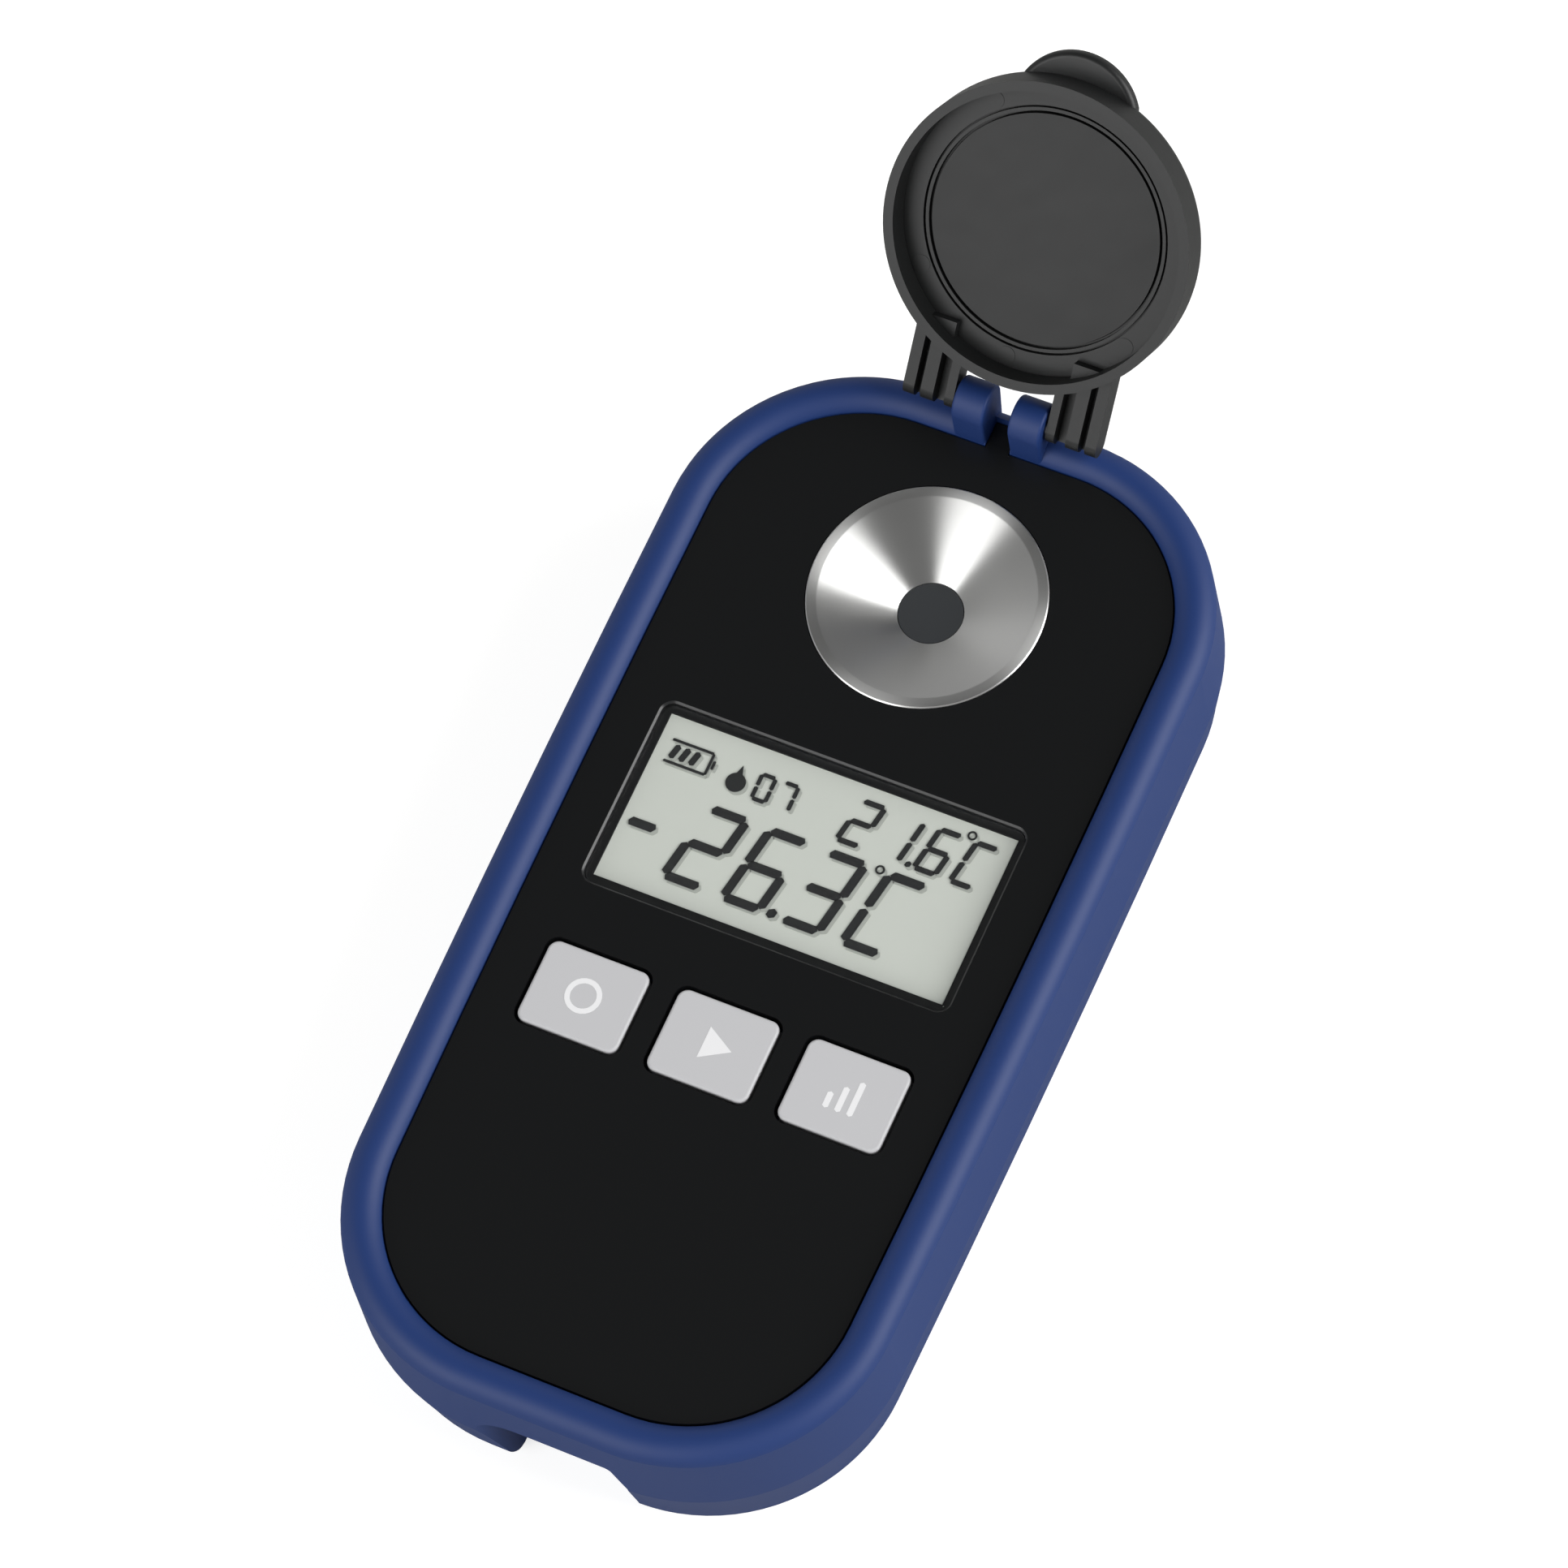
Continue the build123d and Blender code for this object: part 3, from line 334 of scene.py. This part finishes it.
class REFRACTOMETER_OT_display(bpy.types.Operator):
    """Adds the dark bars of the display and the soft shadow that they throw on its ground"""
    bl_idname = "refractometer.display"
    bl_label = "Display Characters"

    LARGE_LOW, LARGE_HIGH = -1.21, 7.92
    LARGE_CELLS = ((-12.95, -8.1), (-6.45, -1.6), (0.0, 4.85))
    LARGE_LAST = (6.6, 11.4)
    SMALL_LOW, SMALL_HIGH = 8.8, 14.08
    SMALL_CELLS = (("2", 1.76, 4.68), ("1", 6.07, 8.97), ("6", 10.15, 13.0), ("C", 14.08, 16.9))
    INDEX_LOW, INDEX_HIGH = 9.79, 12.98
    INDEX_CELLS = (("0", -7.9, -6.0), ("7", -5.4, -3.5))

    def draw(self, look):
        bm = bmesh.new()
        wide = look.segment_width_mm
        for digit, (left, right) in zip(look.reading, self.LARGE_CELLS):
            character(bm, digit, left, right, self.LARGE_LOW, self.LARGE_HIGH, wide)
        character(bm, "C", *self.LARGE_LAST, self.LARGE_LOW, self.LARGE_HIGH, wide)
        middle = (self.LARGE_LOW + self.LARGE_HIGH) / 2
        bar(bm, (-19.0, middle), (-16.0, middle), wide)
        bar(bm, (-0.75, self.LARGE_LOW), (-0.75, self.LARGE_LOW + wide * 1.2), wide)
        lean(bm, look.lean_deg, self.LARGE_LOW)
        small = bmesh.new()
        for digit, left, right in self.SMALL_CELLS:
            character(small, digit, left, right, self.SMALL_LOW, self.SMALL_HIGH, wide * 0.62)
        bar(small, (9.75, self.SMALL_LOW), (9.75, self.SMALL_LOW + wide * 0.75), wide * 0.62)
        lean(small, look.lean_deg, self.SMALL_LOW)
        for digit, left, right in self.INDEX_CELLS:
            character(small, digit, left, right, self.INDEX_LOW, self.INDEX_HIGH, wide * 0.46)
        for x in (-17.0, -15.9, -14.8):
            bar(small, (x - 0.15, 10.95), (x + 0.25, 12.6), wide * 0.7)
        for start, end in (((-17.7, 12.98), (-13.1, 12.98)), ((-17.7, 10.56), (-13.1, 10.56)),
                           ((-13.1, 10.56), (-13.1, 12.98)), ((-12.7, 11.3), (-12.7, 12.3))):
            bar(small, start, end, wide * 0.3)
        drop(small, (-9.85, 10.95), 1.05, 3.0)
        ring(bm, (7.48, 7.59), 0.5, 0.2)
        ring(small, (14.55, 14.3), 0.5, 0.2)
        mesh = bpy.data.meshes.new("small")
        small.to_mesh(mesh)
        small.free()
        bm.from_mesh(mesh)
        bpy.data.meshes.remove(mesh)
        return bm

    def execute(self, context):
        look = context.scene.refractometer_look
        glass_top = span("lcd_module")[1].z
        pane_low = span("display_window")[0].z
        layer = (pane_low - glass_top) / 5
        shadow = self.draw(look)
        bmesh.ops.translate(shadow, verts=shadow.verts, vec=(0.34, -0.22, 0))
        plate(shadow, glass_top + layer * 1.5, layer)
        finish(shadow, "segment_shadows", plain("display_shadow", look.shadow_color, 0.6), "case")
        bars = self.draw(look)
        plate(bars, glass_top + layer * 3.5, layer)
        finish(bars, "display_segments", plain("liquid_crystal_dark", look.segment_color, 0.5), "case")
        return {"FINISHED"}


class REFRACTOMETER_OT_button_signs(bpy.types.Operator):
    """Prints a plain sign on each button"""
    bl_idname = "refractometer.button_signs"
    bl_label = "Button Signs"

    PRINT_MM = 0.02

    def execute(self, context):
        look = context.scene.refractometer_look
        ink = plain("pale_pad_print", look.sign_color, 0.5)
        for name in ("button_left", "button_middle", "button_right"):
            low, high, middle = span(name)
            bm = bmesh.new()
            if name == "button_left":
                ring(bm, (0, 0), 1.9, 0.55)
            elif name == "button_middle":
                bmesh.ops.create_circle(bm, cap_ends=True, segments=3, radius=2.0)
                bmesh.ops.rotate(bm, verts=bm.verts, cent=(0, 0, 0), matrix=Matrix.Rotation(-TURN / 4, 3, "Z"))
            else:
                for x, half in ((-1.3, 0.9), (0.0, 1.4), (1.3, 1.9)):
                    bar(bm, (x, -1.9), (x, 2 * half - 1.9), 0.62)
            plate(bm, high.z + self.PRINT_MM, 2 * self.PRINT_MM)
            bmesh.ops.translate(bm, verts=bm.verts, vec=(middle.x, middle.y, 0))
            finish(bm, f"{name}_sign", ink, name)
        return {"FINISHED"}


class REFRACTOMETER_OT_window(bpy.types.Operator):
    """Gives the clear pane of the display its rounded corners and polished bevel"""
    bl_idname = "refractometer.window"
    bl_label = "Display Window"

    CORNER_MM = 1.2
    BEVEL_MM = 0.3

    def execute(self, context):
        low, high, middle = span("display_window")
        bm = bmesh.new()
        bmesh.ops.create_cube(bm, size=1.0)
        bmesh.ops.scale(bm, vec=high - low, verts=bm.verts)
        upright = [edge for edge in bm.edges if abs(edge.verts[0].co.z - edge.verts[1].co.z) > self.BEVEL_MM]
        bmesh.ops.bevel(bm, geom=upright, offset=self.CORNER_MM, offset_type="OFFSET", segments=6, profile=0.5,
                        affect="EDGES", material=-1)
        top = max(vert.co.z for vert in bm.verts)
        rim = [edge for edge in bm.edges if all(vert.co.z > top - 0.001 for vert in edge.verts)]
        bmesh.ops.bevel(bm, geom=rim, offset=self.BEVEL_MM, offset_type="OFFSET", segments=1, profile=0.5,
                        affect="EDGES", material=-1)
        bmesh.ops.translate(bm, verts=bm.verts, vec=middle)
        clear = frame["nodes"]["display_window"].data.materials[0]
        finish(bm, "bevelled_window", clear, "case", nodes=("display_window",), sharp_deg=20)
        return {"FINISHED"}


class REFRACTOMETER_OT_lid_marks(bpy.types.Operator):
    """Adds the round ejector marks that the mould left inside the lid"""
    bl_idname = "refractometer.lid_marks"
    bl_label = "Lid Marks"

    # Places as the lid lies closed, round the middle of the well; the lid is then turned open about its hinge
    OPEN_DEG = 133.36
    CEILING_MM = 23.25
    FROM_MIDDLE_MM = 14.02
    RADIUS_MM = 0.95
    RAISED_MM = 0.05
    BEARINGS_DEG = (147.0, 94.0, 40.0, -125.0)

    def execute(self, context):
        middle = span("sample_well")[2]
        hinge = next(joint for joint in frame["record"]["behaviour"]["joints"] if joint["name"] == "lid_hinge")
        pivot = Vector(hinge["pos_m"]) / MM
        bm = bmesh.new()
        for bearing in self.BEARINGS_DEG:
            turn = math.radians(bearing)
            place = Vector((middle.x + self.FROM_MIDDLE_MM * math.cos(turn),
                            middle.y + self.FROM_MIDDLE_MM * math.sin(turn), self.CEILING_MM - self.RAISED_MM / 2))
            bmesh.ops.create_cone(bm, cap_ends=True, segments=32, radius1=self.RADIUS_MM, radius2=self.RADIUS_MM,
                                  depth=self.RAISED_MM, matrix=Matrix.Translation(place))
        bmesh.ops.rotate(bm, verts=bm.verts, cent=pivot,
                         matrix=Matrix.Rotation(-math.radians(self.OPEN_DEG), 3, "X"))
        grey = frame["nodes"]["lid_cap"].data.materials[0]
        finish(bm, "lid_ejector_marks", grey, "lid")
        return {"FINISHED"}


class REFRACTOMETER_OT_well(bpy.types.Operator):
    """Turns the steel sample well as one smooth piece"""
    bl_idname = "refractometer.well"
    bl_label = "Sample Well"

    RIM_MM = 1.1
    BEVEL_MM = 0.12
    HOLE_R_MM = 3.41
    HOLE_TOP_MM = 16.1
    BODY_R_MM = 10.6

    def execute(self, context):
        look = context.scene.refractometer_look
        low, high, middle = span("sample_well")
        outer = (high.x - low.x) / 2
        cone = outer - self.RIM_MM
        flange_low = span("front_panel")[0].z
        points = [(self.HOLE_R_MM, low.z), (self.HOLE_R_MM, self.HOLE_TOP_MM), (cone - 0.1, high.z - 0.05),
                  (cone + 0.08, high.z), (outer - self.BEVEL_MM, high.z), (outer, high.z - self.BEVEL_MM),
                  (outer, flange_low), (self.BODY_R_MM, flange_low), (self.BODY_R_MM, low.z)]
        bm = turned(points, middle, look.turned_steps)
        steel = frame["nodes"]["sample_well"].data.materials[0]
        finish(bm, "turned_well", steel, "case", nodes=("sample_well",), sharp_deg=20)
        return {"FINISHED"}


class REFRACTOMETER_OT_stage(bpy.types.Operator):
    """Adds the pale floor, the studio lights and the camera"""
    bl_idname = "refractometer.stage"
    bl_label = "Stage"

    # Pale walls below a dark ceiling: sines of the heights where they fade, and the two levels
    WALL_HEIGHTS = (0.3, 0.8)
    WALL_LEVELS = (0.65, 0.08)
    # Name, bearing from +X and height above the floor in degrees, distance and width in metres, power in watts
    LAMPS = (("key", 18.6, 30.0, 1.2, 0.9, 15.0), ("fill", 244.0, 38.0, 1.3, 0.95, 10.5))

    def execute(self, context):
        look = context.scene.refractometer_look
        material, tree, shader, place = new_material("pale_studio_floor", look.floor_color, 0.9)
        path = add_node(tree, "ShaderNodeLightPath")
        seen = add_node(tree, "ShaderNodeMath", {0: path.outputs["Is Camera Ray"],
                                                 1: path.outputs["Is Transmission Ray"]},
                        operation="ADD", use_clamp=True)
        tree.links.new(seen.outputs[0], shader.inputs["Emission Strength"])
        shader.inputs["Emission Color"].default_value = (0.72, 0.72, 0.72, 1)
        bm = bmesh.new()
        bmesh.ops.create_grid(bm, x_segments=1, y_segments=1, size=3.0)
        mesh = bpy.data.meshes.new("floor")
        bm.to_mesh(mesh)
        bm.free()
        mesh.materials.append(material)
        floor = bpy.data.objects.new("floor", mesh)
        context.scene.collection.objects.link(floor)
        for name, bearing, height, away, size, power in self.LAMPS:
            lamp = bpy.data.lights.new(name, "AREA")
            lamp.size = size
            lamp.energy = power
            turn = Matrix.Rotation(math.radians(bearing), 3, "Z") @ Matrix.Rotation(-math.radians(height), 3, "Y")
            toward = turn @ Vector((1, 0, 0))
            lamp_object = bpy.data.objects.new(name, lamp)
            lamp_object.location = toward * away
            lamp_object.rotation_euler = (-toward).to_track_quat("-Z", "Y").to_euler()
            context.scene.collection.objects.link(lamp_object)
        world = bpy.data.worlds.new("soft_room")
        world.use_nodes = True
        sky = world.node_tree
        sky.nodes["Background"].inputs["Color"].default_value = (1, 1, 1, 1)
        way = add_node(sky, "ShaderNodeSeparateXYZ", {0: add_node(sky, "ShaderNodeTexCoord").outputs["Generated"]})
        walls = add_node(sky, "ShaderNodeMapRange", {0: way.outputs["Z"]}, interpolation_type="SMOOTHSTEP")
        for key, value in zip(("From Min", "From Max", "To Min", "To Max"), self.WALL_HEIGHTS + self.WALL_LEVELS):
            walls.inputs[key].default_value = value
        seen = add_node(sky, "ShaderNodeMath", {0: walls.outputs[0],
                                                1: add_node(sky, "ShaderNodeLightPath").outputs["Is Camera Ray"]},
                        operation="MAXIMUM")
        sky.links.new(seen.outputs[0], sky.nodes["Background"].inputs["Strength"])
        context.scene.world = world
        camera_data = bpy.data.cameras.new("camera")
        camera_data.sensor_width = 36.0
        camera_data.lens = CAMERA_LENS_MM
        camera_data.clip_start = 0.05
        camera = bpy.data.objects.new("camera", camera_data)
        camera.location = Vector(CAMERA_PLACE_MM) * MM
        camera.rotation_euler = [math.radians(a) for a in CAMERA_TURN_DEG]
        context.scene.collection.objects.link(camera)
        context.scene.camera = camera
        context.scene.view_settings.view_transform = "Standard"
        return {"FINISHED"}


OPERATORS = (REFRACTOMETER_OT_case, REFRACTOMETER_OT_display, REFRACTOMETER_OT_window,
             REFRACTOMETER_OT_button_signs, REFRACTOMETER_OT_well, REFRACTOMETER_OT_lid_marks,
             REFRACTOMETER_OT_stage)


class REFRACTOMETER_PT_panel(bpy.types.Panel):
    """Lists the steps that dress the refractometer"""
    bl_idname = "REFRACTOMETER_PT_panel"
    bl_label = "Refractometer"
    bl_space_type = "VIEW_3D"
    bl_region_type = "UI"
    bl_category = "Refractometer"

    def draw(self, context):
        look = context.scene.refractometer_look
        for key in RefractometerLook.__annotations__:
            self.layout.prop(look, key)
        for operator in OPERATORS:
            self.layout.operator(operator.bl_idname)


CLASSES = (RefractometerLook, *OPERATORS, REFRACTOMETER_PT_panel)


def register():
    for cls in CLASSES:
        bpy.utils.register_class(cls)
    bpy.types.Scene.refractometer_look = PointerProperty(type=RefractometerLook)


def unregister():
    del bpy.types.Scene.refractometer_look
    for cls in reversed(CLASSES):
        bpy.utils.unregister_class(cls)


def main():
    register()
    bpy.ops.refractometer.case()
    bpy.ops.refractometer.display()
    bpy.ops.refractometer.window()
    bpy.ops.refractometer.button_signs()
    bpy.ops.refractometer.well()
    bpy.ops.refractometer.lid_marks()
    bpy.ops.refractometer.stage()


if __name__ == "__main__":
    main()
